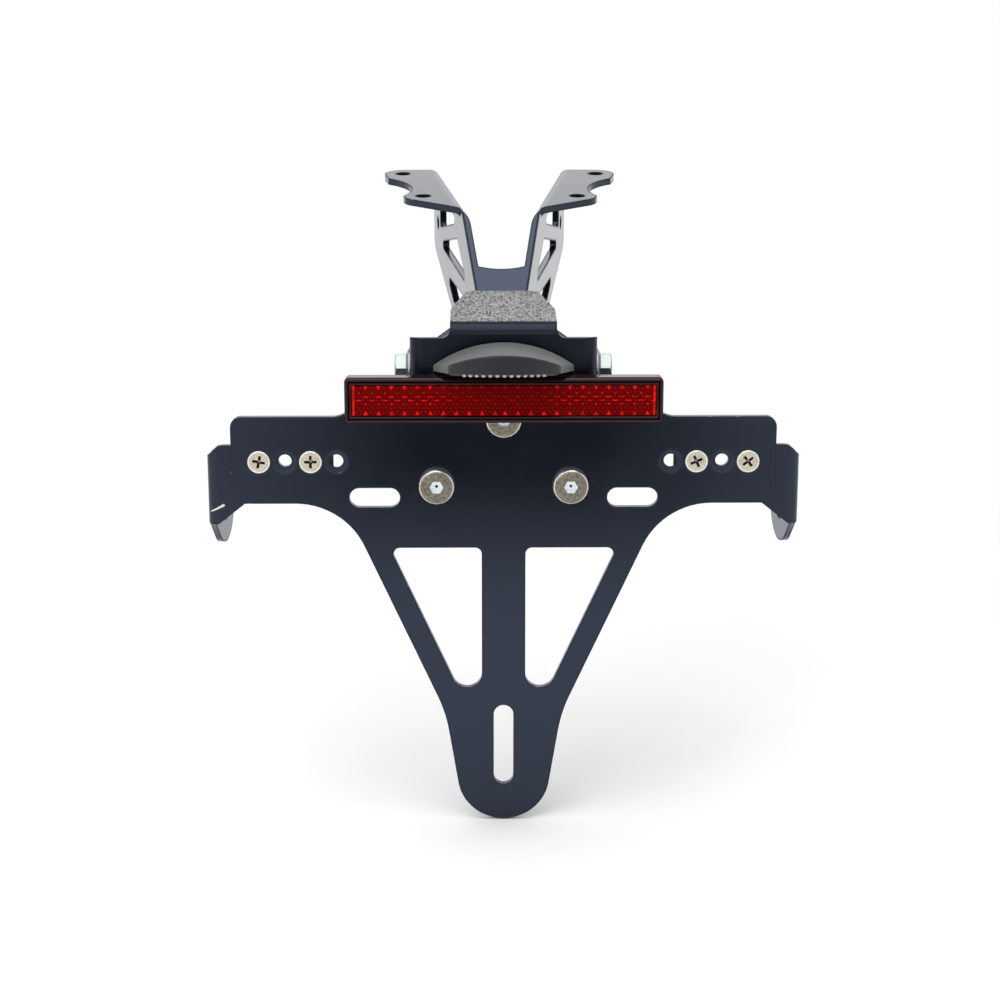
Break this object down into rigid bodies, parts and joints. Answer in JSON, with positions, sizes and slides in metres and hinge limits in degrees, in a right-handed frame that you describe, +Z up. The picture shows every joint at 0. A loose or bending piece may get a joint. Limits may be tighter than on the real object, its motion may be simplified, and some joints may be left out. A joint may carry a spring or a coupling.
{
  "type": "motorbike tail tidy",
  "caption": "Motorbike tail tidy: folded bracket with lattice arms, tilting number-plate carrier, indicator brackets, plate lamp and rear reflector.",
  "frame": {"origin": "midway between the two number-plate slots, on the carrier's front face", "axes": "+X to the bike's right as seen from behind, +Y forward to the bike's tail, +Z up"},
  "size_m": [0.1978, 0.1931, 0.2061],
  "materials": {
    "black_coat": "satin",
    "nickel": "polished",
    "dull_steel": "satin",
    "zinc": "satin",
    "reflector_frame": "gloss",
    "red_lens": "gloss",
    "black_plastic": "matte",
    "clear_lens": "gloss",
    "circuit_board": "matte",
    "led": "gloss"
  },
  "bodies": {
    "tail_bracket": {"main_bracket": "black_coat", "pivot_bolts": "zinc", "pivot_washers": "zinc", "pivot_nuts": "zinc"},
    "plate_head": {"hinge_bracket": "black_coat", "plate_carrier": "black_coat", "left_indicator_bracket": "black_coat", "right_indicator_bracket": "black_coat", "indicator_screws": "nickel", "indicator_washers": "zinc", "indicator_nuts": "zinc", "carrier_screws": "dull_steel", "carrier_washers": "zinc", "carrier_nuts": "zinc", "reflector_housing": "reflector_frame", "reflector_lens": "red_lens", "reflector_studs": "zinc", "reflector_spacers": "black_plastic", "reflector_washers": "zinc", "reflector_nuts": "zinc", "lamp_housing": "black_plastic", "lamp_lens": "clear_lens", "lamp_board": "circuit_board", "lamp_leds": "led", "lamp_screws": "zinc"}
  },
  "joints": [
    {"name": "plate_tilt", "type": "hinge", "parent": "tail_bracket", "child": "plate_head", "pos_m": [0, 0.015, 0.0406], "axis": [-1, 0, 0], "range_deg": [-15, 8]}
  ]
}
